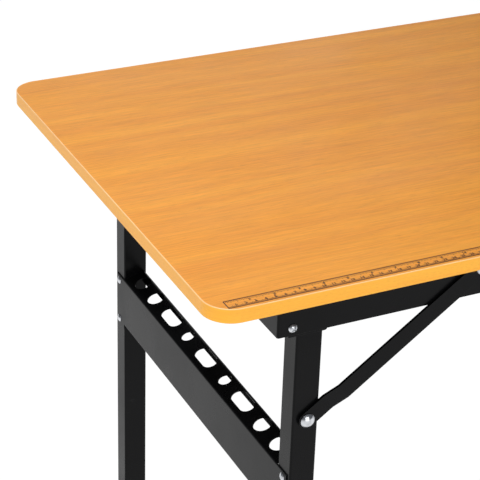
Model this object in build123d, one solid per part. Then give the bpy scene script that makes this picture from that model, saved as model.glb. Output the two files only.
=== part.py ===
from build123d import *
import os
from math import atan2, cos, degrees, hypot, radians, sin, tan

# Folding drawing and work table. Millimetres, +Z up. The origin is on the floor, under the middle
# of the top. X runs along the front edge, -Y is the front, and the table is mirrored about both
# planes, so every part is made once, at the front left, and then mirrored to its other places.

# ---------------------------------------------------------------- driving dimensions

TABLE_LENGTH = 1524.0
TABLE_DEPTH = 560.0
TABLE_HEIGHT = 711.0

BOARD_THICKNESS = 15.0
EDGE_BAND = 1.0
EDGE_BAND_ROUND = 0.4
CORNER_RADIUS = 29.0

SHEET = 1.5
APRON_HEIGHT = 56.4
APRON_INSET_X = 88.0
APRON_INSET_Y = 44.3
APRON_BEND = 2.3
APRON_CORNER_RETURN = 8.0
APRON_FLANGE = 22.0

LEG_SIZE_X = 28.4
LEG_SIZE_Y = 25.9
LEG_WALL = 1.5
LEG_ROUND = 2.0
LEG_INSET_X = 111.3
LEG_INSET_Y = 48.4

HEAD_PLATE = 1.9
HEAD_PLATE_DROP = 11.8
HEAD_PLATE_RISE = 12.0
HEAD_PLATE_OVERHANG = 3.4
HEAD_PLATE_END = 9.5
LEG_RISE = 10.0

FOOT_BASE = 5.0
FOOT_PLUG = 18.0
FOOT_WALL = 2.0

PIVOT_INSET_X = 104.2
PIVOT_DROP = 63.0
PIVOT_BOLT = 6.0
PIVOT_HEAD = 9.6
PIVOT_HEAD_HEIGHT = 3.4
RECESS_SPAN = 5.4
RECESS_WIDTH = 1.3
RECESS_DEPTH = 1.8
PIVOT_WASHER = 0.6
PIVOT_NUT_FLATS = 10.0
PIVOT_NUT_HEIGHT = 5.0

# The flange of the tool panel rises inwards from the outer face by this angle.
PANEL_TILT = 18.5
PANEL_TOP_DROP = 241.75
PANEL_HEIGHT = 63.9
PANEL_BEND = 2.6
PANEL_FLANGE = 28.6
PANEL_LIP = 11.7
PANEL_HEM = 9.0
PANEL_LIP_TAB = 6.0
PANEL_LIP_TAB_LENGTH = 16.0
PANEL_EAR = 5.3
PANEL_END_INSET = 5.5
PANEL_LEG_GAP = 1.0
PANEL_RIVET_DROP = 7.2
PANEL_RIVET_STEP = 53.0

TOOL_HOLE_LINE = 15.9
SMALL_HOLE = 15.5
BIG_HOLE = 20.8
SLOT_LENGTH = 37.6
SLOT_WIDTH = 17.5
# Places along the flange, measured from its middle, mirrored to the other half.
SLOT_PLACES = [0.0, 94.6]
SMALL_HOLE_PLACES = [49.4]
BIG_HOLE_PLACES = [142.0, 180.0]

BRACE_WIDTH = 18.8
BRACE_THICKNESS = 3.0
BRACE_TOP_INSET_X = 313.5
BRACE_TOP_DROP = 39.8
# The bolt at the foot stands slightly inwards of the middle of the leg.
BRACE_FOOT_OFFSET = 0.8
BRACE_FOOT_DROP = 174.8
BRACE_JOGGLE_AT = 36.7
BRACE_JOGGLE_LENGTH = 18.0
BRACE_BOLT = 8.0
BRACE_HEAD = 15.4
BRACE_HEAD_HEIGHT = 4.6
BRACE_TAIL = 13.0
BRACE_TAIL_HEIGHT = 1.8
INSERT_OUTER = 11.0
INSERT_INNER = 8.0
INSERT_LENGTH = 12.0

RIVET_HEAD = 9.0
RIVET_HEAD_HEIGHT = 2.4
RIVET_SHANK = 4.8
RIVET_TAIL = 7.0
RIVET_TAIL_HEIGHT = 2.0

SCREW_HEAD = 8.0
SCREW_HEAD_HEIGHT = 2.2
SCREW_SHANK = 4.0
SCREW_BITE = 10.5
RAIL_SCREW_STEP = 300.0
APRON_SCREW_STEP = 150.0

# Sliding faces on different bodies stand this far apart, and a pin has this radial room.
FACE_GAP = 0.3
PIN_GAP = 0.06

# ---------------------------------------------------------------- worked-out places

UNDERSIDE = TABLE_HEIGHT - BOARD_THICKNESS
APRON_X = TABLE_LENGTH / 2 - APRON_INSET_X
APRON_Y = TABLE_DEPTH / 2 - APRON_INSET_Y
APRON_BOTTOM = UNDERSIDE - APRON_HEIGHT

LEG_OUTER_X = -TABLE_LENGTH / 2 + LEG_INSET_X
LEG_MIDDLE_X = LEG_OUTER_X + LEG_SIZE_X / 2
LEG_FRONT_Y = -TABLE_DEPTH / 2 + LEG_INSET_Y
LEG_MIDDLE_Y = LEG_FRONT_Y + LEG_SIZE_Y / 2

PIVOT_X = -TABLE_LENGTH / 2 + PIVOT_INSET_X
PIVOT_Z = TABLE_HEIGHT - PIVOT_DROP
LEG_TOP = PIVOT_Z + LEG_RISE

PANEL_TOP = TABLE_HEIGHT - PANEL_TOP_DROP
PANEL_BOTTOM = PANEL_TOP - PANEL_HEIGHT
PANEL_OUTER_X = LEG_OUTER_X - SHEET
PANEL_HALF_LENGTH = -LEG_FRONT_Y - PANEL_END_INSET

BRACE_FOOT_X = LEG_MIDDLE_X + BRACE_FOOT_OFFSET
BRACE_TOP_X = -TABLE_LENGTH / 2 + BRACE_TOP_INSET_X
BRACE_TOP_Z = TABLE_HEIGHT - BRACE_TOP_DROP
BRACE_FOOT_Z = TABLE_HEIGHT - BRACE_FOOT_DROP
BRACE_RUN = BRACE_TOP_X - BRACE_FOOT_X
BRACE_CLIMB = BRACE_TOP_Z - BRACE_FOOT_Z
BRACE_LENGTH = hypot(BRACE_RUN, BRACE_CLIMB)
BRACE_ANGLE = degrees(atan2(BRACE_CLIMB, BRACE_RUN))

RAIL_FACE_Y = -APRON_Y
BRACE_TOP_FACE_Y = RAIL_FACE_Y - FACE_GAP - BRACE_THICKNESS
BRACE_FOOT_FACE_Y = LEG_FRONT_Y - FACE_GAP - BRACE_THICKNESS

RAIL_SCREW_PLACES = [step * RAIL_SCREW_STEP for step in range(-2, 3)]
APRON_SCREW_PLACES = [step * APRON_SCREW_STEP for step in range(-1, 2)]
SCREW_LINE = APRON_FLANGE / 2 + SHEET


# ---------------------------------------------------------------- small helpers


def block(x_range, y_range, z_range):
    """A plain box between two corners."""
    middle = [(low + high) / 2 for low, high in (x_range, y_range, z_range)]
    size = [high - low for low, high in (x_range, y_range, z_range)]
    return Pos(*middle) * Box(*size)


def rod(point, direction, diameter, length):
    """A round bar that starts at a point and runs along a direction."""
    return Plane(origin=point, z_dir=direction) * Cylinder(
        diameter / 2, length, align=(Align.CENTER, Align.CENTER, Align.MIN)
    )


def dome(point, direction, diameter, height):
    """A mushroom head: a slice of a ball on a thin straight rim, flat side on the point."""
    rim = height * 0.18
    rise = height - rim
    radius = diameter / 2
    ball = (radius**2 + rise**2) / (2 * rise)
    rim_disc = Cylinder(radius, rim, align=(Align.CENTER, Align.CENTER, Align.MIN))
    cap = Pos(0, 0, height - ball) * Sphere(ball)
    column = Pos(0, 0, rim) * Cylinder(radius, rise, align=(Align.CENTER, Align.CENTER, Align.MIN))
    return Plane(origin=point, z_dir=direction) * (rim_disc + (cap & column))


def across(shape):
    """The same shape at the other end of the table."""
    return mirror(shape, about=Plane.YZ)


def behind(shape):
    """The same shape at the rear of the table."""
    return mirror(shape, about=Plane.XZ)


def write(name, shape):
    """One STEP file for one part."""
    shape.label = name
    export_step(shape, f"parts/{name}.step")


def write_at_corners(name, front_left):
    """Four mirrored copies of a part, one near each corner of the table."""
    write(f"front_left_{name}", front_left)
    write(f"rear_left_{name}", behind(front_left))
    write(f"front_right_{name}", across(front_left))
    write(f"rear_right_{name}", across(behind(front_left)))


# ---------------------------------------------------------------- the top


def board_outline(shrink):
    """The rounded rectangle of the top, drawn in by a small amount."""
    length = TABLE_LENGTH - 2 * shrink
    depth = TABLE_DEPTH - 2 * shrink
    return Pos(0, 0, UNDERSIDE) * RectangleRounded(length, depth, CORNER_RADIUS - shrink)


def screw_points():
    """Where the screws rise into the board: along both rails and along both aprons."""
    rail_y = APRON_Y - SCREW_LINE
    apron_x = APRON_X - SCREW_LINE
    front = [(x, -rail_y) for x in RAIL_SCREW_PLACES]
    rear = [(x, rail_y) for x in RAIL_SCREW_PLACES]
    left = [(-apron_x, y) for y in APRON_SCREW_PLACES]
    right = [(apron_x, y) for y in APRON_SCREW_PLACES]
    return {"front_rail": front, "rear_rail": rear, "left_apron": left, "right_apron": right}


def worktop_board():
    board = extrude(board_outline(EDGE_BAND), BOARD_THICKNESS)
    for points in screw_points().values():
        for x, y in points:
            board -= rod((x, y, UNDERSIDE), (0, 0, 1), SCREW_SHANK, SCREW_BITE)
    return board


def edge_band():
    band = extrude(board_outline(0) - board_outline(EDGE_BAND), BOARD_THICKNESS)
    long_enough = TABLE_DEPTH - 2 * CORNER_RADIUS - 1
    outside = []
    for face in band.faces().filter_by(Axis.Z):
        outer_wire = face.outer_wire()
        outside += outer_wire.edges()
    assert max(edge.length for edge in outside) > long_enough
    return fillet(outside, EDGE_BAND_ROUND)


# ---------------------------------------------------------------- rails and aprons


def apron_ring():
    """The wall under the top as one bent ring, before it is cut into four parts."""
    outer = RectangleRounded(2 * APRON_X, 2 * APRON_Y, APRON_BEND)
    inner = RectangleRounded(2 * (APRON_X - SHEET), 2 * (APRON_Y - SHEET), APRON_BEND - SHEET)
    return extrude(Pos(0, 0, APRON_BOTTOM) * (outer - inner), APRON_HEIGHT)


def front_rail():
    """The long front wall with its bent ends, and the flange that screws to the board."""
    reach = -APRON_Y + APRON_CORNER_RETURN
    wall = apron_ring() & block(
        (-APRON_X, APRON_X), (-APRON_Y, reach), (APRON_BOTTOM, UNDERSIDE)
    )
    flange = block(
        (-APRON_X + APRON_BEND, APRON_X - APRON_BEND),
        (-APRON_Y + SHEET, -APRON_Y + APRON_FLANGE),
        (UNDERSIDE - SHEET, UNDERSIDE),
    )
    rail = wall + flange
    for x, y in screw_points()["front_rail"]:
        rail -= rod((x, y, UNDERSIDE - SHEET), (0, 0, 1), SCREW_SHANK, SHEET)
    for side in (-1, 1):
        rail -= rod((side * -PIVOT_X, RAIL_FACE_Y, PIVOT_Z), (0, 1, 0), PIVOT_BOLT, SHEET)
        rail -= rod((side * -BRACE_TOP_X, RAIL_FACE_Y, BRACE_TOP_Z), (0, 1, 0), BRACE_BOLT, SHEET)
    return rail


def left_apron():
    """The short end wall between the bent ends of the two rails."""
    reach = APRON_Y - APRON_CORNER_RETURN
    wall = apron_ring() & block(
        (-APRON_X, -APRON_X + SHEET), (-reach, reach), (APRON_BOTTOM, UNDERSIDE)
    )
    flange_reach = APRON_Y - APRON_FLANGE
    flange = block(
        (-APRON_X + SHEET, -APRON_X + APRON_FLANGE),
        (-flange_reach, flange_reach),
        (UNDERSIDE - SHEET, UNDERSIDE),
    )
    apron = wall + flange
    for x, y in screw_points()["left_apron"]:
        apron -= rod((x, y, UNDERSIDE - SHEET), (0, 0, 1), SCREW_SHANK, SHEET)
    return apron


def top_screws(points):
    """Pan-head screws that rise through a flange into the board."""
    screws = []
    seat = UNDERSIDE - SHEET
    for x, y in points:
        shank = rod((x, y, seat), (0, 0, 1), SCREW_SHANK, SHEET + SCREW_BITE)
        screws.append(shank + dome((x, y, seat), (0, 0, -1), SCREW_HEAD, SCREW_HEAD_HEIGHT))
    return Compound(screws)


# ---------------------------------------------------------------- leg frames


def brace_insert():
    """A threaded sleeve set flush in the leg's front wall, for the bolt at the brace's foot."""
    sleeve = rod((BRACE_FOOT_X, LEG_FRONT_Y, BRACE_FOOT_Z), (0, 1, 0), INSERT_OUTER, INSERT_LENGTH)
    hole = rod((BRACE_FOOT_X, LEG_FRONT_Y, BRACE_FOOT_Z), (0, 1, 0), INSERT_INNER, INSERT_LENGTH)
    return sleeve - hole


def rivet_heights():
    upper = PANEL_TOP - PANEL_RIVET_DROP
    return (upper, upper - PANEL_RIVET_STEP)


def leg_tube():
    outer = RectangleRounded(LEG_SIZE_X, LEG_SIZE_Y, LEG_ROUND)
    inner = RectangleRounded(
        LEG_SIZE_X - 2 * LEG_WALL, LEG_SIZE_Y - 2 * LEG_WALL, LEG_ROUND - LEG_WALL
    )
    place = Pos(LEG_MIDDLE_X, LEG_MIDDLE_Y, FOOT_BASE)
    tube = extrude(place * (outer - inner), LEG_TOP - FOOT_BASE)
    tube -= rod((BRACE_FOOT_X, LEG_FRONT_Y, BRACE_FOOT_Z), (0, 1, 0), INSERT_OUTER, LEG_WALL)
    for z in rivet_heights():
        tube -= rod((LEG_OUTER_X, LEG_MIDDLE_Y, z), (1, 0, 0), RIVET_SHANK, LEG_WALL)
    return tube


def head_plate():
    """The welded plate that carries the leg on its pivot, rounded about the pivot."""
    inner_x = LEG_OUTER_X + LEG_SIZE_X + HEAD_PLATE_OVERHANG
    low = PIVOT_Z - HEAD_PLATE_DROP
    high = PIVOT_Z + HEAD_PLATE_RISE
    back = LEG_FRONT_Y
    front = LEG_FRONT_Y - HEAD_PLATE
    body = block((PIVOT_X + HEAD_PLATE_END / 2, inner_x), (front, back), (low, high))
    body = fillet(body.edges().filter_by(Axis.Y), 2.5)
    nose = rod((PIVOT_X, front, PIVOT_Z), (0, 1, 0), 2 * HEAD_PLATE_END, HEAD_PLATE)
    apron_side = block((PIVOT_X - 4.0, PIVOT_X + 12.0), (front, back), (low, PIVOT_Z))
    apron_side = fillet(apron_side.edges().filter_by(Axis.Y), 2.5)
    hole = rod((PIVOT_X, front, PIVOT_Z), (0, 1, 0), PIVOT_BOLT + 2 * PIN_GAP, HEAD_PLATE)
    return body + nose + apron_side - hole


def foot_cap():
    """A moulded foot: a base as wide as the leg and a hollow plug pushed up into it."""
    base = extrude(
        Pos(LEG_MIDDLE_X, LEG_MIDDLE_Y, 0) * RectangleRounded(LEG_SIZE_X, LEG_SIZE_Y, LEG_ROUND),
        FOOT_BASE,
    )
    base = chamfer(base.faces().sort_by(Axis.Z)[0].edges(), 1.0)
    plug_x = LEG_SIZE_X - 2 * LEG_WALL
    plug_y = LEG_SIZE_Y - 2 * LEG_WALL
    plug = RectangleRounded(plug_x, plug_y, LEG_ROUND - LEG_WALL)
    bore = RectangleRounded(plug_x - 2 * FOOT_WALL, plug_y - 2 * FOOT_WALL, FOOT_WALL)
    stem = extrude(Pos(LEG_MIDDLE_X, LEG_MIDDLE_Y, FOOT_BASE) * (plug - bore), FOOT_PLUG)
    return base + stem


def flange_point(reach, y, depth=0.0):
    """A point on the tilted flange: reach along it from the outer face, depth below its top."""
    tilt = radians(PANEL_TILT)
    x = PANEL_OUTER_X + reach * cos(tilt) + depth * sin(tilt)
    return (x, y, PANEL_TOP + reach * sin(tilt) - depth * cos(tilt))


def tool_holes():
    """The punched row of round holes and slots, as cutters square to the tilted flange."""
    tilt = radians(PANEL_TILT)
    square = (-sin(tilt), 0, cos(tilt))
    depth = 3 * SHEET
    cutters = []
    for places, diameter in ((SMALL_HOLE_PLACES, SMALL_HOLE), (BIG_HOLE_PLACES, BIG_HOLE)):
        for place in places:
            for y in (-place, place):
                start = flange_point(TOOL_HOLE_LINE, y, 2 * SHEET)
                cutters.append(rod(start, square, diameter, depth))
    slot = SlotOverall(SLOT_LENGTH, SLOT_WIDTH)
    for place in SLOT_PLACES:
        for y in sorted({-place, place}):
            start = flange_point(TOOL_HOLE_LINE, y, 2 * SHEET)
            cutters.append(extrude(Plane(start, x_dir=(0, 1, 0), z_dir=square) * slot, depth))
    return cutters


def panel_section():
    """The bent profile along the middle of the sheet: hem, outer wall, tilted flange, lip."""
    half = SHEET / 2
    tilt = radians(PANEL_TILT)
    wall_x = PANEL_OUTER_X + half
    lip_x = PANEL_OUTER_X + PANEL_FLANGE * cos(tilt) - half
    sheet_top = PANEL_TOP - half / cos(tilt)
    wall_top = sheet_top + (wall_x - PANEL_OUTER_X) * tan(tilt)
    lip_top = sheet_top + (lip_x - PANEL_OUTER_X) * tan(tilt)
    lip_end = PANEL_TOP + PANEL_FLANGE * sin(tilt) - PANEL_LIP
    line = FilletPolyline(
        (PANEL_OUTER_X + PANEL_HEM, PANEL_BOTTOM + half),
        (wall_x, PANEL_BOTTOM + half),
        (wall_x, wall_top),
        (lip_x, lip_top),
        (lip_x, lip_end),
        radius=PANEL_BEND - half,
    )
    return Plane.XZ * trace(line, SHEET)


def tool_panel():
    """The end panel: a tall outer wall, a punched flange, flat ears over the two legs, and
    a deeper tab at each end of the lip, beside the leg."""
    panel = extrude(panel_section(), PANEL_HALF_LENGTH, both=True)
    leg_end = LEG_FRONT_Y + LEG_SIZE_Y + PANEL_LEG_GAP
    high = PANEL_TOP + PANEL_FLANGE
    notch = block(
        (LEG_OUTER_X, LEG_OUTER_X + PANEL_FLANGE), (LEG_FRONT_Y - 1, leg_end), (PANEL_BOTTOM, high)
    )
    ear = block(
        (PANEL_OUTER_X, LEG_OUTER_X),
        (-PANEL_HALF_LENGTH, leg_end),
        (PANEL_BOTTOM - PANEL_EAR, PANEL_TOP - PANEL_BEND),
    )
    panel -= notch
    panel -= behind(notch)
    lip_inner = PANEL_OUTER_X + PANEL_FLANGE * cos(radians(PANEL_TILT))
    lip_end = PANEL_TOP + PANEL_FLANGE * sin(radians(PANEL_TILT)) - PANEL_LIP
    tab = block(
        (lip_inner - SHEET, lip_inner),
        (leg_end, leg_end + PANEL_LIP_TAB_LENGTH),
        (lip_end - PANEL_LIP_TAB, lip_end + 1),
    )
    for piece in (ear, tab):
        panel += piece
        panel += behind(piece)
    for cutter in tool_holes():
        panel -= cutter
    for z in rivet_heights():
        shank = rod((PANEL_OUTER_X, LEG_MIDDLE_Y, z), (1, 0, 0), RIVET_SHANK, SHEET)
        panel -= shank
        panel -= behind(shank)
    return panel


def panel_rivets():
    """Four dome-head blind rivets that hold one panel to its two legs."""
    rivets = []
    for z in rivet_heights():
        head = dome((PANEL_OUTER_X, LEG_MIDDLE_Y, z), (-1, 0, 0), RIVET_HEAD, RIVET_HEAD_HEIGHT)
        shank = rod((PANEL_OUTER_X, LEG_MIDDLE_Y, z), (1, 0, 0), RIVET_SHANK, SHEET + LEG_WALL)
        tail = rod(
            (LEG_OUTER_X + LEG_WALL, LEG_MIDDLE_Y, z), (1, 0, 0), RIVET_TAIL, RIVET_TAIL_HEIGHT
        )
        rivet = head + shank + tail
        rivets += [rivet, behind(rivet)]
    return Compound(rivets)


# ---------------------------------------------------------------- pivots


def cross_recess():
    """The cross-shaped driver recess in the pivot bolt's head, turned by an eighth."""
    bars = Rectangle(RECESS_SPAN, RECESS_WIDTH) + Rectangle(RECESS_WIDTH, RECESS_SPAN)
    face = Plane((PIVOT_X, RAIL_FACE_Y - PIVOT_HEAD_HEIGHT, PIVOT_Z), z_dir=(0, 1, 0))
    return extrude(face * (Rot(0, 0, 45) * bars), RECESS_DEPTH)


def pivot_bolt():
    """A pan-head bolt through the rail and the leg's head plate."""
    head = dome((PIVOT_X, RAIL_FACE_Y, PIVOT_Z), (0, -1, 0), PIVOT_HEAD, PIVOT_HEAD_HEIGHT)
    head -= cross_recess()
    reach = LEG_FRONT_Y + FACE_GAP + PIVOT_NUT_HEIGHT + 1.0 - RAIL_FACE_Y
    return head + rod((PIVOT_X, RAIL_FACE_Y, PIVOT_Z), (0, 1, 0), PIVOT_BOLT, reach)


def pivot_washer():
    start = (PIVOT_X, RAIL_FACE_Y + SHEET, PIVOT_Z)
    disc = rod(start, (0, 1, 0), PIVOT_HEAD, PIVOT_WASHER)
    return disc - rod(start, (0, 1, 0), PIVOT_BOLT, PIVOT_WASHER)


def pivot_nut():
    start = (PIVOT_X, LEG_FRONT_Y + FACE_GAP, PIVOT_Z)
    hexagon = RegularPolygon(PIVOT_NUT_FLATS / 2, 6, major_radius=False)
    nut = extrude(Plane(origin=start, z_dir=(0, 1, 0)) * hexagon, PIVOT_NUT_HEIGHT)
    return nut - rod(start, (0, 1, 0), PIVOT_BOLT, PIVOT_NUT_HEIGHT)


# ---------------------------------------------------------------- braces


def brace_bar():
    """A flat bar with round ends and one joggle that steps it back from the rail to the leg."""
    step = BRACE_FOOT_FACE_Y - BRACE_TOP_FACE_Y
    half = BRACE_JOGGLE_LENGTH / 2
    end = BRACE_WIDTH / 2
    centre = [
        (-end, step),
        (BRACE_JOGGLE_AT - half, step),
        (BRACE_JOGGLE_AT + half, 0),
        (BRACE_LENGTH + end, 0),
    ]
    near = Polyline(*centre)
    far = [(u, v + BRACE_THICKNESS) for u, v in reversed(centre)]
    side_view = make_face(Polyline(*centre, *far, centre[0]))
    assert near.length > BRACE_LENGTH
    bar = Pos(0, 0, -end) * extrude(side_view, BRACE_WIDTH)
    outline = SlotOverall(BRACE_LENGTH + 2 * end, BRACE_WIDTH)
    middle = Pos(BRACE_LENGTH / 2, 0, 0)
    envelope = middle * (Rot(90, 0, 0) * extrude(outline, 40, both=True))
    bar = bar & envelope
    bar -= rod((0, -5, 0), (0, 1, 0), BRACE_BOLT, 20)
    bar -= rod((BRACE_LENGTH, -5, 0), (0, 1, 0), BRACE_BOLT + 2 * PIN_GAP, 20)
    return Pos(BRACE_FOOT_X, BRACE_TOP_FACE_Y, BRACE_FOOT_Z) * (Rot(0, -BRACE_ANGLE, 0) * bar)


def brace_foot_bolt():
    """The dome-head bolt at the brace's foot. Its shank ends level with the back of the brace."""
    seat = (BRACE_FOOT_X, BRACE_FOOT_FACE_Y, BRACE_FOOT_Z)
    shank = rod(seat, (0, 1, 0), BRACE_BOLT, BRACE_THICKNESS)
    return dome(seat, (0, -1, 0), BRACE_HEAD, BRACE_HEAD_HEIGHT) + shank


def brace_top_rivet():
    """The dome-head rivet that the brace turns on, with a flat tail behind the rail."""
    seat = (BRACE_TOP_X, BRACE_TOP_FACE_Y - FACE_GAP / 3, BRACE_TOP_Z)
    rail_back = RAIL_FACE_Y + SHEET
    shank = rod(seat, (0, 1, 0), BRACE_BOLT, rail_back - seat[1])
    tail = rod((BRACE_TOP_X, rail_back, BRACE_TOP_Z), (0, 1, 0), BRACE_TAIL, BRACE_TAIL_HEIGHT)
    return dome(seat, (0, -1, 0), BRACE_HEAD, BRACE_HEAD_HEIGHT) + shank + tail


# ---------------------------------------------------------------- writing the parts

os.makedirs("parts", exist_ok=True)

write("worktop_board", worktop_board())
write("edge_band", edge_band())

rail = front_rail()
write("front_rail", rail)
write("rear_rail", behind(rail))
apron = left_apron()
write("left_apron", apron)
write("right_apron", across(apron))
for wall_name, wall_points in screw_points().items():
    write(f"{wall_name}_screws", top_screws(wall_points))

write_at_corners("leg", leg_tube())
write_at_corners("head_plate", head_plate())
write_at_corners("foot_cap", foot_cap())
write_at_corners("brace_insert", brace_insert())

panel = tool_panel()
write("left_tool_panel", panel)
write("right_tool_panel", across(panel))
rivets = panel_rivets()
write("left_panel_rivets", rivets)
write("right_panel_rivets", across(rivets))

write_at_corners("pivot_bolt", pivot_bolt())
write_at_corners("pivot_washer", pivot_washer())
write_at_corners("pivot_nut", pivot_nut())

write_at_corners("brace", brace_bar())
write_at_corners("brace_foot_bolt", brace_foot_bolt())
write_at_corners("brace_top_rivet", brace_top_rivet())

print("brace between its bolts", round(BRACE_LENGTH, 1), "rising", round(BRACE_ANGLE, 1), "degrees")
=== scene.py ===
# %% [markdown]
# # A folding drafting table
#
# The real object is a long workshop table for drawing and craft work. A laminated board sits on a
# folded sheet-steel frame, two leg frames fold flat under it, and a rule is printed along the
# front edge of the top. The metal and the board come ready-made from the CAD model, in metres, on
# the floor. This lesson gives them their finishes, adds the printed rule, and sets up the studio.
#
# Everything is placed from the boxes of the CAD pieces, so that a change of size in the CAD model
# carries through to the rule, the lights and the patterns.

# %% Load the CAD model
import math

import bmesh
import bpy
from mathutils import Matrix, Quaternion, Vector


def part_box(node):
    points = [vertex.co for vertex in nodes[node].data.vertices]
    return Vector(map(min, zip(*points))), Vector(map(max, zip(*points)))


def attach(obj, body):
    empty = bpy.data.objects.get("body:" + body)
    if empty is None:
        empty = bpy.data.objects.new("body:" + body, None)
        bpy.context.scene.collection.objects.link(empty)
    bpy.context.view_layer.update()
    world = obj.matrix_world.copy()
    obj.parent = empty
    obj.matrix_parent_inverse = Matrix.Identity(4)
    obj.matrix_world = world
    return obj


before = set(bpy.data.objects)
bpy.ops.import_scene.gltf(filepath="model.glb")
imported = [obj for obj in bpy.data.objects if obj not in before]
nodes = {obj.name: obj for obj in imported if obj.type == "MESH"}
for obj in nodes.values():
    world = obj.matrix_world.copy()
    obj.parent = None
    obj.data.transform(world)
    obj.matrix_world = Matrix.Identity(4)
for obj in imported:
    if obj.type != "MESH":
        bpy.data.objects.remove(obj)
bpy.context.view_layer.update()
board_low, board_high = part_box("worktop_board")
table_low, table_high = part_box("edge_band")
MM = 0.001
table_length = table_high.x - table_low.x
print(f"{len(nodes)} CAD pieces, top at {table_high.z:.3f} m, length {table_length:.3f} m")

# %% [markdown]
# ## Small tools for node trees
#
# A shader is a graph. Written out by hand, each node takes five or six lines: make it, set its
# options, fill its sockets, link it. `put` does the four in one call. A value that is itself an
# output socket becomes a link, and anything else becomes the socket's own number or colour.


# %% Node tree helpers
def put(tree, kind, sockets=None, **options):
    """Adds a node, sets its options, and fills or links its input sockets."""
    made = tree.nodes.new("ShaderNode" + kind)
    for name, value in options.items():
        setattr(made, name, value)
    for socket, value in (sockets or {}).items():
        if isinstance(value, bpy.types.NodeSocket):
            tree.links.new(value, made.inputs[socket])
        else:
            made.inputs[socket].default_value = value
    return made


def calc(tree, operation, first, second=0.0, clamp=False):
    """One Math node; returns its output."""
    made = put(tree, "Math", {0: first, 1: second}, operation=operation, use_clamp=clamp)
    return made.outputs[0]


def blend(tree, share, first, second, how="MIX"):
    """One colour Mix node; returns its output."""
    made = put(tree, "Mix", {0: share, 6: first, 7: second}, data_type="RGBA", blend_type=how)
    return made.outputs[2]


def shade(tree, base, tone):
    """The base colour times a plain number, where 1 leaves it as it is; returns the output."""
    grey = put(tree, "CombineColor", {0: tone, 1: tone, 2: tone}).outputs[0]
    return blend(tree, 1.0, base, grey, "MULTIPLY")


def remap(tree, value, low, high, to_low=0.0, to_high=1.0):
    """Stretches low..high to to_low..to_high, clamped; returns the output."""
    made = put(tree, "MapRange", {0: value, 1: low, 2: high, 3: to_low, 4: to_high})
    return made.outputs[0]


def noise(tree, where, scale=1.0, detail=2.0, roughness=0.5):
    """One Noise texture; returns its grey output."""
    sockets = {"Vector": where, "Scale": scale, "Detail": detail, "Roughness": roughness}
    return put(tree, "TexNoise", sockets).outputs["Fac"]


def stretched(tree, where, scale):
    """The position multiplied by a different number on each axis."""
    made = put(tree, "VectorMath", {0: where, 1: scale}, operation="MULTIPLY")
    return made.outputs[0]


def colour(red, green, blue):
    """A screen colour of 0 to 255 per channel, as the linear colour a socket wants."""
    linear = []
    for channel in (red, green, blue):
        share = channel / 255
        linear.append(share / 12.92 if share <= 0.04045 else ((share + 0.055) / 1.055) ** 2.4)
    return (*linear, 1.0)


print("golden oak in linear colour:", [round(c, 3) for c in colour(240, 162, 76)[:3]])

# %% [markdown]
# ## Node groups: effects that several finishes share
#
# The laminate and the edge band both carry a printed oak grain, and the painted steel, the zinc
# and the plastic all wear at their edges and pick up fine marks. The edges of the steel and the
# edge band also get a painted highlight from the same mask. A node group holds each effect once.
# It has named inputs, so that each material sets its own scale, and it gives out only masks and
# heights, which the material turns into colour, roughness and bump.


# %% Start a node group
def new_group(name, takes, gives):
    """A shader node group with its sockets: takes and gives are {name: socket kind}."""
    group = bpy.data.node_groups.new(name, "ShaderNodeTree")
    for side, sockets in (("INPUT", takes), ("OUTPUT", gives)):
        for label, kind in sockets.items():
            group.interface.new_socket(label, in_out=side, socket_type="NodeSocket" + kind)
    start = group.nodes.new("NodeGroupInput")
    end = group.nodes.new("NodeGroupOutput")
    return group, start.outputs, end.inputs


def use_group(tree, group, sockets):
    """Places a group in a material and returns its outputs."""
    return put(tree, "Group", sockets, node_tree=group).outputs


# %% [markdown]
# ### Oak grain
#
# Printed oak has several sizes of mark. Rings and streaks, a finger wide and an arm long, come
# from the way the tree grew. Fibres, a millimetre or two wide, run inside them. Pores are short
# dark dashes as thin as a hair. Each is one noise texture stretched along the board, because
# noise squeezed on one axis draws long soft lines. A slow sideways wander is added first, so that
# the lines bend a little, as they do in a sawn board.
#
# The scales below are cycles per metre, first along the board and then twice across it.

# %% Oak grain group
oak_grain, given, out = new_group(
    "oak_grain",
    {"Position": "Vector", "Wander": "Float"},
    {"Streak": "Float", "Ring": "Float", "Fibre": "Float", "Pore": "Float"},
)
position = given["Position"]
sway = noise(oak_grain, stretched(oak_grain, position, (1.3, 5.0, 5.0)), detail=1.0)
sway = calc(oak_grain, "MULTIPLY", calc(oak_grain, "SUBTRACT", sway, 0.5), given["Wander"])
shift = put(oak_grain, "CombineXYZ", {"Y": sway}).outputs[0]
bent = put(oak_grain, "VectorMath", {0: position, 1: shift}, operation="ADD").outputs[0]
streak = noise(oak_grain, stretched(oak_grain, bent, (2.2, 56.0, 56.0)), detail=4.0, roughness=0.55)
ring = noise(oak_grain, stretched(oak_grain, bent, (1.2, 22.0, 22.0)), detail=2.0)
fine = stretched(oak_grain, bent, (20.0, 460.0, 460.0))
fibre = noise(oak_grain, fine, detail=3.0, roughness=0.65)
pore = noise(oak_grain, stretched(oak_grain, bent, (85.0, 2300.0, 2300.0)), detail=1.0)
for label, value in (("Streak", streak), ("Ring", ring), ("Fibre", fibre)):
    oak_grain.links.new(value, out[label])
oak_grain.links.new(remap(oak_grain, pore, 0.62, 0.72), out["Pore"])
print("oak grain group:", len(oak_grain.nodes), "nodes")
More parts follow.
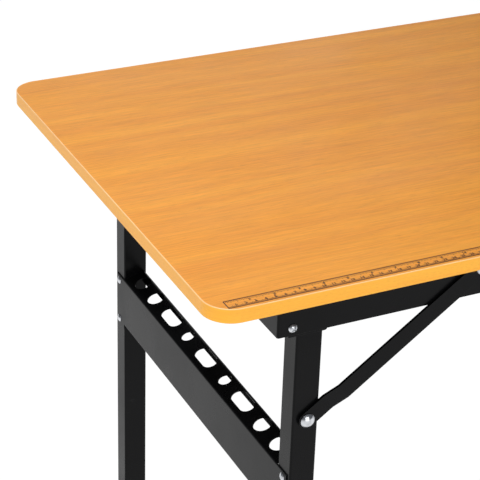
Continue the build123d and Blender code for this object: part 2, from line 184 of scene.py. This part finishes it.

# %% [markdown]
# ### Edge wear, and a painted highlight on edges
#
# Paint and plating thin out on corners first. The Bevel node gives the normal that the surface
# would have if its corners were rounded; where that differs from the true normal, a corner is
# near. Noise breaks the line up, because wear is never even.
# The same mask also paints a pale highlight on the corners of the edge band and the painted steel.

# %% Edge wear and painted highlight group
edge_wear_and_highlight, given, out = new_group(
    "edge_wear_and_highlight", {"Position": "Vector", "Width": "Float", "Patches": "Float"}, {"Mask": "Float"}
)
rounded = put(edge_wear_and_highlight, "Bevel", {"Radius": given["Width"]}, samples=4).outputs[0]
true_normal = put(edge_wear_and_highlight, "NewGeometry").outputs["Normal"]
agree = put(edge_wear_and_highlight, "VectorMath", {0: rounded, 1: true_normal}, operation="DOT_PRODUCT")
corner = remap(edge_wear_and_highlight, agree.outputs["Value"], 0.985, 0.80)
patches = noise(edge_wear_and_highlight, given["Position"], given["Patches"], detail=4.0, roughness=0.7)
wear_and_highlight = calc(edge_wear_and_highlight, "MULTIPLY", corner, remap(edge_wear_and_highlight, patches, 0.42, 0.62))
edge_wear_and_highlight.links.new(wear_and_highlight, out["Mask"])
print("edge wear group:", len(edge_wear_and_highlight.nodes), "nodes")

# %% [markdown]
# ### Handling marks
#
# A clean product still has a soft unevenness in its gloss, where it was wiped or touched, and a
# few hairline scratches. The unevenness is a slow noise. A scratch is a thin slice of a noise that
# is stretched on a diagonal: the slice keeps only where the value crosses one half.

# %% Handling marks group
handling, given, out = new_group(
    "handling_marks",
    {"Position": "Vector", "Smudge Scale": "Float", "Scratch Scale": "Float"},
    {"Smudge": "Float", "Scratch": "Float"},
)
smudge = noise(handling, given["Position"], given["Smudge Scale"], detail=3.0, roughness=0.55)
diagonal = {"Rotation": (0.5, 0.7, 0.35), "Scale": (1.0, 9.0, 9.0)}
turned = put(handling, "Mapping", {"Vector": given["Position"], **diagonal}).outputs[0]
line = noise(handling, turned, given["Scratch Scale"], detail=1.0)
line = calc(handling, "ABSOLUTE", calc(handling, "SUBTRACT", line, 0.5))
line = remap(handling, line, 0.006, 0.0)
sparse = remap(handling, noise(handling, given["Position"], given["Smudge Scale"]), 0.55, 0.65)
handling.links.new(smudge, out["Smudge"])
handling.links.new(calc(handling, "MULTIPLY", line, sparse), out["Scratch"])
print("handling marks group:", len(handling.nodes), "nodes")

# %% [markdown]
# ## Finishes
#
# Each finish is one material. `new_finish` makes it with an empty Principled shader and reads
# Object coordinates. The CAD pieces sit at the origin, so those are plain metres, and a pattern
# set in metres has the same size on every piece.


# %% Start a finish
def new_finish(name, **plain):
    """A material with its Principled node; plain values go straight on the shader's sockets."""
    material = bpy.data.materials.new(name)
    material.use_nodes = True
    tree = material.node_tree
    shader = tree.nodes["Principled BSDF"]
    for socket, value in plain.items():
        shader.inputs[socket.replace("_", " ")].default_value = value
    place = put(tree, "TexCoord").outputs["Object"]
    return material, tree, shader.inputs, place


def raise_surface(tree, surface, height, depth):
    """A bump of a real depth in metres, from a height of 0 to 1."""
    bump = put(tree, "Bump", {"Strength": 1.0, "Distance": depth, "Height": height})
    tree.links.new(bump.outputs[0], surface["Normal"])


# %% [markdown]
# ### Golden oak laminate
#
# The top is a printed paper under a satin melamine skin. Its colour comes from the grain group:
# streaks go from a light honey to a deeper orange, a few wide rings turn reddish, fibres and pores
# darken it. The pores are pressed into the skin, so they also drive the bump. The underside of
# such a board has a plain backing sheet, picked out here by its height and painted dark as
# painted shade under the top.

# %% Golden oak laminate
oak_laminate, tree, surface, place = new_finish("golden_oak_laminate", Roughness=0.45, IOR=1.45)
grain = use_group(tree, oak_grain, {"Position": place, "Wander": 0.05})
streak_tone = put(tree, "ValToRGB", {"Fac": grain["Streak"]})
tones = streak_tone.color_ramp.elements
tones[0].position, tones[0].color = 0.30, colour(235, 151, 50)
tones[1].position, tones[1].color = 0.72, colour(247, 167, 56)
middle = tones.new(0.52)
middle.color = colour(241, 159, 52)
ring_mask = calc(tree, "MULTIPLY", remap(tree, grain["Ring"], 0.50, 0.68), 0.30)
oak = blend(tree, ring_mask, streak_tone.outputs["Color"], colour(225, 141, 60))
fibre_tone = remap(tree, grain["Fibre"], 0.30, 0.65, 0.86, 1.05)
oak = shade(tree, oak, fibre_tone)
oak = blend(tree, calc(tree, "MULTIPLY", grain["Pore"], 0.30), oak, colour(150, 88, 40))
height = put(tree, "SeparateXYZ", {0: place}).outputs["Z"]
underside = calc(tree, "LESS_THAN", height, board_low.z + 0.3 * MM)
# The dark backing colour is painted shade under the board.
backing_mottle = noise(tree, stretched(tree, place, (60.0, 60.0, 60.0)), detail=5.0, roughness=0.7)
backing_painted_shade = blend(tree, backing_mottle, colour(46, 38, 32), colour(66, 55, 46))
tree.links.new(blend(tree, underside, oak, backing_painted_shade), surface["Base Color"])
marks = use_group(tree, handling, {"Position": place, "Smudge Scale": 7.0, "Scratch Scale": 25.0})
gloss = remap(tree, marks["Smudge"], 0.3, 0.7, 0.40, 0.50)
gloss = calc(tree, "ADD", gloss, calc(tree, "MULTIPLY", grain["Fibre"], 0.08))
tree.links.new(gloss, surface["Roughness"])
relief = calc(tree, "SUBTRACT", calc(tree, "MULTIPLY", grain["Fibre"], 0.4), grain["Pore"])
raise_surface(tree, surface, relief, 0.03 * MM)
print("laminate:", len(tree.nodes), "nodes, backing below", round(board_low.z, 4), "m")

# %% [markdown]
# ### Edge band
#
# A plastic strip glued round the board, printed in the same oak but lighter and yellower, with
# short fine specks. Its grain runs along the strip. On the front edge that is X and on the ends it
# is Y, so the pattern reads X plus Y as its length and Z as its width, which also carries it round
# the corners. A pale cream is painted on its corners and in a line along its upper edge: a painted
# highlight on the rounded top corner.

# %% Edge band
edge_strip, tree, surface, place = new_finish("oak_edge_band", Roughness=0.38, IOR=1.46)
axes = put(tree, "SeparateXYZ", {0: place}).outputs
run = put(tree, "CombineXYZ", {0: calc(tree, "ADD", axes["X"], axes["Y"]), 1: axes["Z"]}).outputs[0]
grain = use_group(tree, oak_grain, {"Position": run, "Wander": 0.01})
specks = noise(tree, stretched(tree, run, (260.0, 1500.0, 1.0)), detail=2.0)
specks = remap(tree, specks, 0.40, 0.62, 0.94, 1.03)
streak_tone = put(tree, "ValToRGB", {"Fac": grain["Streak"]})
tones = streak_tone.color_ramp.elements
tones[0].position, tones[0].color = 0.30, colour(250, 168, 42)
tones[1].position, tones[1].color = 0.70, colour(255, 186, 54)
fibre_tone = remap(tree, grain["Fibre"], 0.30, 0.70, 0.97, 1.04)
fibre_tone = calc(tree, "MULTIPLY", fibre_tone, specks)
strip = shade(tree, streak_tone.outputs["Color"], fibre_tone)
corner_mask = use_group(tree, edge_wear_and_highlight, {"Position": place, "Width": 0.5 * MM, "Patches": 90.0})
# Pale cream on the corners: a painted highlight.
strip = blend(tree, calc(tree, "MULTIPLY", corner_mask["Mask"], 0.35), strip, colour(255, 226, 178))
top = table_high.z
# A pale line along the top: a painted highlight on the rounded top corner.
painted_arris_highlight = remap(tree, axes["Z"], top - 0.9 * MM, top - 0.3 * MM, 0.0, 0.45)
strip = blend(tree, painted_arris_highlight, strip, colour(255, 230, 196))
tree.links.new(strip, surface["Base Color"])
tree.links.new(remap(tree, grain["Fibre"], 0.3, 0.7, 0.32, 0.44), surface["Roughness"])
raise_surface(tree, surface, grain["Fibre"], 0.02 * MM)
print("edge band:", len(tree.nodes), "nodes")

# %% [markdown]
# ### Black powder coat
#
# The steel is sprayed with dry paint and baked. The paint melts into a semi-gloss skin with a fine
# orange-peel: shallow dimples two or three millimetres across. Its reflection is weak when looked
# at squarely and grows towards grazing, which a low index of refraction gives by itself. Corners
# are painted a shade paler: a painted highlight along the edges, where the skin is also thin.

# %% Black powder coat
powder_coat, tree, surface, place = new_finish("black_powder_coat", Roughness=0.28, IOR=1.20)
corner_mask = use_group(tree, edge_wear_and_highlight, {"Position": place, "Width": 0.6 * MM, "Patches": 60.0})
marks = use_group(tree, handling, {"Position": place, "Smudge Scale": 9.0, "Scratch Scale": 30.0})
mottle = remap(tree, marks["Smudge"], 0.3, 0.7)
paint = blend(tree, mottle, colour(8, 8, 9), colour(12, 12, 13))
# Paler corners: a painted highlight along the edges, where the skin is also thin.
paint = blend(tree, calc(tree, "MULTIPLY", corner_mask["Mask"], 0.30), paint, colour(92, 92, 94))
paint = blend(tree, calc(tree, "MULTIPLY", marks["Scratch"], 0.15), paint, colour(80, 80, 82))
tree.links.new(paint, surface["Base Color"])
gloss = remap(tree, marks["Smudge"], 0.3, 0.7, 0.22, 0.36)
gloss = calc(tree, "ADD", gloss, calc(tree, "MULTIPLY", corner_mask["Mask"], 0.15))
tree.links.new(gloss, surface["Roughness"])
peel = noise(tree, place, 420.0, detail=2.0)
speckle = noise(tree, place, 2100.0, detail=1.0)
relief = calc(tree, "ADD", peel, calc(tree, "MULTIPLY", speckle, 0.25))
raise_surface(tree, surface, relief, 0.035 * MM)
print("powder coat:", len(tree.nodes), "nodes")

# %% [markdown]
# ### Zinc plate
#
# Bolts, rivets and screws are plated with bright zinc: a pale, slightly blue metal, cloudy rather
# than mirror-like, with handling scratches and duller patches.

# %% Zinc plate
zinc_plate, tree, surface, place = new_finish("bright_zinc_plate", Metallic=1.0, Roughness=0.25)
marks = use_group(tree, handling, {"Position": place, "Smudge Scale": 220.0, "Scratch Scale": 260.0})
corner_mask = use_group(tree, edge_wear_and_highlight, {"Position": place, "Width": 0.4 * MM, "Patches": 300.0})
cloud = remap(tree, marks["Smudge"], 0.3, 0.7)
plate = blend(tree, cloud, colour(182, 184, 188), colour(216, 218, 222))
plate = blend(tree, calc(tree, "MULTIPLY", corner_mask["Mask"], 0.5), plate, colour(150, 150, 148))
tree.links.new(plate, surface["Base Color"])
gloss = remap(tree, cloud, 0.0, 1.0, 0.34, 0.18)
gloss = calc(tree, "ADD", gloss, calc(tree, "MULTIPLY", marks["Scratch"], 0.2))
tree.links.new(gloss, surface["Roughness"])
raise_surface(tree, surface, calc(tree, "SUBTRACT", marks["Smudge"], marks["Scratch"]), 0.02 * MM)
print("zinc plate:", len(tree.nodes), "nodes")

# %% [markdown]
# ### Moulded plastic
#
# The feet are pushed-in polythene plugs with a fine spark-eroded texture, matt and very dark grey,
# with pale rub marks where they meet the floor.

# %% Moulded plastic
foot_plastic, tree, surface, place = new_finish("moulded_foot_plastic", Roughness=0.55, IOR=1.50)
corner_mask = use_group(tree, edge_wear_and_highlight, {"Position": place, "Width": 0.8 * MM, "Patches": 120.0})
texture = noise(tree, place, 1500.0, detail=3.0, roughness=0.7)
moulded = blend(tree, texture, colour(22, 22, 23), colour(34, 34, 35))
moulded = blend(tree, calc(tree, "MULTIPLY", corner_mask["Mask"], 0.5), moulded, colour(86, 85, 82))
tree.links.new(moulded, surface["Base Color"])
tree.links.new(remap(tree, texture, 0.3, 0.7, 0.48, 0.66), surface["Roughness"])
raise_surface(tree, surface, texture, 0.05 * MM)
print("foot plastic:", len(tree.nodes), "nodes")

# %% [markdown]
# ### Printing ink
#
# The rule is printed in dark brown under the same skin as the laminate, so it has the laminate's
# sheen. Ink takes unevenly on the paper, which a fine noise shows as slightly faded specks.

# %% Printing ink
rule_ink, tree, surface, place = new_finish("brown_rule_ink", Roughness=0.45, IOR=1.45)
fading = remap(tree, noise(tree, place, 700.0, detail=3.0, roughness=0.7), 0.42, 0.75)
tree.links.new(blend(tree, fading, colour(50, 20, 5), colour(76, 36, 10)), surface["Base Color"])
tree.links.new(remap(tree, fading, 0.0, 1.0, 0.42, 0.52), surface["Roughness"])
print("rule ink:", len(tree.nodes), "nodes")

# %% [markdown]
# ## Give the CAD pieces their finishes
#
# The name of each CAD piece says what it is. The names follow a few plain endings, so a short
# table of endings is enough, and everything else is painted steel.

# %% Assign the finishes
FINISH_BY_ENDING = {
    "worktop_board": oak_laminate,
    "edge_band": edge_strip,
    "_screws": zinc_plate,
    "_rivets": zinc_plate,
    "_rivet": zinc_plate,
    "_bolt": zinc_plate,
    "_washer": zinc_plate,
    "_nut": zinc_plate,
    "_insert": zinc_plate,
    "_foot_cap": foot_plastic,
}
counts = {}
for name, piece in nodes.items():
    finish = next((f for end, f in FINISH_BY_ENDING.items() if name.endswith(end)), powder_coat)
    piece.data.materials.clear()
    piece.data.materials.append(finish)
    counts[finish.name] = counts.get(finish.name, 0) + 1
print("finishes:", counts)

# %% [markdown]
# ## The printed rule
#
# A frame half an inch wide runs along the front edge, with inches along its back line and
# centimetres along its front line. On the real top this is ink under the skin, with no thickness.
# It could be drawn in the laminate's shader, but figures are hard to draw with nodes, and a shader
# drawing would not survive as geometry. So each mark is a closed sliver of a mesh a tenth of a
# millimetre thick, mostly sunk into the top, so that only the ink's own film stands proud.

# %% Sizes of the rule
RULE_MARGIN = 16.7 * MM          # from the end of the top to the zero of the rule
RULE_FRONT = 4.4 * MM            # from the front of the top to the front line
RULE_WIDTH = 13.0 * MM
RULE_LINE = 1.10 * MM            # thickness of the frame lines
TICK_LINE = 0.48 * MM
INCH = 25.4 * MM
CENTIMETRE = 10 * MM
rule_left = table_low.x + RULE_MARGIN
rule_right = table_high.x - RULE_MARGIN
rule_front = table_low.y + RULE_FRONT
rule_back = rule_front + RULE_WIDTH
ink_low = table_high.z - 0.06 * MM          # sunk into the top
ink_high = table_high.z + 0.04 * MM         # the film that shows
rule_length = rule_right - rule_left
print(f"rule {rule_length * 1000:.1f} mm long, {rule_length / INCH:.1f} inches")

# %% [markdown]
# A bar of ink is a cube from `bmesh.ops.create_cube`, scaled and moved by one matrix. The frame is
# four bars and each tick is one, six faces apiece, so thousands of them stay light.


# %% Bars of ink
def ink_bar(mesh, x_low, x_high, y_low, y_high):
    """One flat bar of ink on the top, between two X and two Y positions."""
    middle = Vector(((x_low + x_high) / 2, (y_low + y_high) / 2, (ink_low + ink_high) / 2))
    size = Matrix.Diagonal((x_high - x_low, y_high - y_low, ink_high - ink_low, 1))
    bmesh.ops.create_cube(mesh, size=1, matrix=Matrix.Translation(middle) @ size)


def finish_piece(name, mesh, material, body):
    """Turns a bmesh into an object at the origin, with its material and body."""
    data = bpy.data.meshes.new(name)
    mesh.to_mesh(data)
    mesh.free()
    data.materials.append(material)
    piece = bpy.data.objects.new(name, data)
    bpy.context.scene.collection.objects.link(piece)
    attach(piece, body)
    print(f"{name}: {len(data.polygons)} faces")
    return piece


frame_lines = bmesh.new()
for y in (rule_front, rule_back):
    ink_bar(frame_lines, rule_left, rule_right, y - RULE_LINE / 2, y + RULE_LINE / 2)
for x in (rule_left, rule_right):
    ink_bar(frame_lines, x - RULE_LINE / 2, x + RULE_LINE / 2, rule_front, rule_back)
finish_piece("rule_frame", frame_lines, rule_ink, "tabletop")

# %% [markdown]
# A reader finds a place on a rule by the length of the ticks. Centimetre ticks rise from the front
# line, longer at each half and whole centimetre. Inch ticks hang from the back line, longer at
# each eighth, quarter, half and whole inch.

# %% Centimetre and inch ticks
CM_TICKS = ((10, 4.6 * MM), (5, 3.7 * MM), (1, 2.9 * MM))
INCH_TICKS = ((16, 5.6 * MM), (8, 4.8 * MM), (4, 4.1 * MM), (2, 3.5 * MM), (1, 2.9 * MM))


def tick_length(number, table):
    """The length for this tick: the first entry whose count divides its number."""
    return next(length for every, length in table if number % every == 0)


cm_ticks = bmesh.new()
for number in range(1, int(rule_length / MM)):
    x = rule_left + number * MM
    length = tick_length(number, CM_TICKS)
    ink_bar(cm_ticks, x - TICK_LINE / 2, x + TICK_LINE / 2, rule_front, rule_front + length)
finish_piece("rule_centimetre_ticks", cm_ticks, rule_ink, "tabletop")

inch_ticks = bmesh.new()
for number in range(1, int(rule_length / INCH * 16)):
    x = rule_left + number * INCH / 16
    length = tick_length(number, INCH_TICKS)
    ink_bar(inch_ticks, x - TICK_LINE / 2, x + TICK_LINE / 2, rule_back - length, rule_back)
finish_piece("rule_inch_ticks", inch_ticks, rule_ink, "tabletop")

# %% [markdown]
# The figures come from Blender's own text object, made once for each of the ten digits at a coarse
# curve resolution. It is turned into a mesh before it is placed, its doubled corners are merged so
# that it is closed, and each number is set from copies of those ten meshes.

# %% Ten digits
FIGURE_HEIGHT = 3.3 * MM
FIGURE_STEP = 2.35 * MM          # from one digit to the next in a number
FIGURE_SWELL = 0.22 * MM         # how far ink spreads past a digit's outline
DIGIT_SHARE = 0.73               # a digit's height as a share of the type size
WELD = 0.001 * MM                # corners closer than this are one corner
INK_THICKNESS = ink_high - ink_low


def make_digit(digit):
    """A closed mesh of one digit, centred on the origin, face up."""
    text = bpy.data.curves.new("digit_" + digit, "FONT")
    text.body = digit
    text.size = FIGURE_HEIGHT / DIGIT_SHARE
    text.resolution_u = 1
    text.extrude = INK_THICKNESS / 2
    text.offset = FIGURE_SWELL
    holder = bpy.data.objects.new("digit_" + digit, text)
    bpy.context.scene.collection.objects.link(holder)
    ready = holder.evaluated_get(bpy.context.evaluated_depsgraph_get())
    data = bpy.data.meshes.new_from_object(ready)
    bpy.data.objects.remove(holder)
    bpy.data.curves.remove(text)
    shape = bmesh.new()
    shape.from_mesh(data)
    bpy.data.meshes.remove(data)
    bmesh.ops.remove_doubles(shape, verts=shape.verts, dist=WELD)
    corners = [corner.co for corner in shape.verts]
    low = Vector([min(co[axis] for co in corners) for axis in range(3)])
    high = Vector([max(co[axis] for co in corners) for axis in range(3)])
    bmesh.ops.translate(shape, verts=shape.verts, vec=-(low + high) / 2)
    bmesh.ops.recalc_face_normals(shape, faces=shape.faces)
    result = bpy.data.meshes.new("digit_" + digit)
    shape.to_mesh(result)
    shape.free()
    return result


digits = {digit: make_digit(digit) for digit in "0123456789"}
print("faces per digit:", [len(mesh.polygons) for mesh in digits.values()])

# %% [markdown]
# A number's digits are spread about its middle. Both rows of numbers stand a little to the left of
# their ticks, as on a printed tape.

# %% Rows of numbers
FIGURE_LEAD = 1.2 * MM           # how far a number stands left of its tick
CM_ROW = rule_front + 4.2 * MM
INCH_ROW = rule_front + 8.5 * MM


def number_row(name, last, step, y):
    """One row of the numbers 1 to last, a step apart along the rule."""
    row = bmesh.new()
    for number in range(1, last + 1):
        word = str(number)
        middle = rule_left + number * step - FIGURE_LEAD
        for place_in_word, digit in enumerate(word):
            x = middle + (place_in_word - (len(word) - 1) / 2) * FIGURE_STEP
            before = len(row.verts)
            row.from_mesh(digits[digit])
            row.verts.ensure_lookup_table()
            spot = Vector((x, y, (ink_low + ink_high) / 2))
            bmesh.ops.translate(row, verts=row.verts[before:], vec=spot)
    return finish_piece(name, row, rule_ink, "tabletop")


last_centimetre = int(rule_length / CENTIMETRE)
last_inch = int(rule_length / INCH)
number_row("rule_centimetre_numbers", last_centimetre, CENTIMETRE, CM_ROW)
number_row("rule_inch_numbers", last_inch, INCH, INCH_ROW)
for mesh in digits.values():
    bpy.data.meshes.remove(mesh)

# %% [markdown]
# ## Studio
#
# The table stands on a light table: a pale floor that glows softly, so that it stays white under
# the object. Painted steel shows what is around it, so the white floor is also what draws the pale
# sheen on the legs. The floor is a disc, and it isn't part of the object.

# %% Pale floor
floor_paint, tree, surface, place = new_finish("pale_floor", Roughness=0.7, IOR=1.3)
paper = noise(tree, place, 3.0, detail=3.0)
floor_tone = blend(tree, paper, colour(84, 84, 84), colour(90, 90, 90))
tree.links.new(floor_tone, surface["Base Color"])
surface["Emission Color"].default_value = (1.0, 1.0, 1.0, 1.0)
surface["Emission Strength"].default_value = 0.98
disc = bmesh.new()
FLOOR_RADIUS = 40.0
bmesh.ops.create_circle(disc, cap_ends=True, segments=96, radius=FLOOR_RADIUS)
floor_mesh = bpy.data.meshes.new("studio_floor")
disc.to_mesh(floor_mesh)
disc.free()
floor_mesh.materials.append(floor_paint)
studio_floor = bpy.data.objects.new("studio_floor", floor_mesh)
bpy.context.scene.collection.objects.link(studio_floor)
print("floor:", len(floor_mesh.polygons), "face")

# %% [markdown]
# ## Light
#
# One large soft box hangs above and left of the front left corner, so the top is brightest there
# and fades towards the right. A second stands in front and lights the front edge. A third, much
# weaker, stands behind, and its soft reflection pales the far part of the top. The world is a dim
# grey for every ray but the camera's own, because a bright world would veil the deep colours with
# reflections.

# %% Soft boxes and world
def soft_box(name, at, towards, size, watts):
    """A square area light that hangs at a point and faces another."""
    lamp = bpy.data.lights.new(name, "AREA")
    lamp.shape = "SQUARE"
    lamp.size = size
    lamp.energy = watts
    holder = bpy.data.objects.new(name, lamp)
    holder.location = at
    holder.rotation_mode = "QUATERNION"
    holder.rotation_quaternion = (Vector(towards) - Vector(at)).to_track_quat("-Z", "Y")
    bpy.context.scene.collection.objects.link(holder)
    return holder


front_left = Vector((table_low.x, table_low.y, table_high.z))
# Each box: its place and its target, both from the front left corner, its side and its power.
SOFT_BOXES = {
    "key_soft_box": ((-0.5, 0.0, 1.45), (0.2, 0.2, 0.0), 1.0, 24.5),
    "front_soft_box": ((0.1, -2.2, 0.5), (0.3, 0.0, -0.1), 1.6, 24.0),
    "back_soft_box": ((0.85, 2.1, 0.62), (0.3, 0.5, 0.0), 1.5, 6.5),
}
for name, (at, towards, size, watts) in SOFT_BOXES.items():
    soft_box(name, front_left + Vector(at), front_left + Vector(towards), size, watts)

world = bpy.data.worlds.new("studio_world")
world.use_nodes = True
bpy.context.scene.world = world
tree = world.node_tree
tree.nodes.clear()
dim = put(tree, "Background", {"Color": (0.9, 0.94, 1.0, 1.0), "Strength": 0.14})
white = put(tree, "Background", {"Color": (1.0, 1.0, 1.0, 1.0), "Strength": 1.0})
seen = put(tree, "LightPath").outputs["Is Camera Ray"]
sky = put(tree, "MixShader", {0: seen, 1: dim.outputs[0], 2: white.outputs[0]})
put(tree, "OutputWorld", {"Surface": sky.outputs[0]})
bpy.context.scene.view_settings.view_transform = "Standard"

# %% [markdown]
# ## Camera
#
# The camera looks down at the front left corner with a long lens, from the height of a standing
# person. Its direction is given by three angles: the turn away from straight ahead, the drop
# below the horizon, and a slight lean of the horizon.

# %% Camera
TURN = math.radians(26.41)
DROP = math.radians(28.14)
LEAN = math.radians(1.85)
eye = front_left + Vector((-0.5724, -1.1992, 0.7868))
gaze = Vector((math.sin(TURN) * math.cos(DROP), math.cos(TURN) * math.cos(DROP), -math.sin(DROP)))
lens = bpy.data.cameras.new("camera")
lens.lens = 130.0
lens.sensor_width = 36.0
lens.clip_start = 0.05
lens.clip_end = 200.0
camera = bpy.data.objects.new("camera", lens)
camera.location = eye
camera.rotation_mode = "QUATERNION"
camera.rotation_quaternion = gaze.to_track_quat("-Z", "Y") @ Quaternion((0, 0, 1), LEAN)
bpy.context.scene.collection.objects.link(camera)
bpy.context.scene.camera = camera
print("camera at", [round(c, 3) for c in eye])
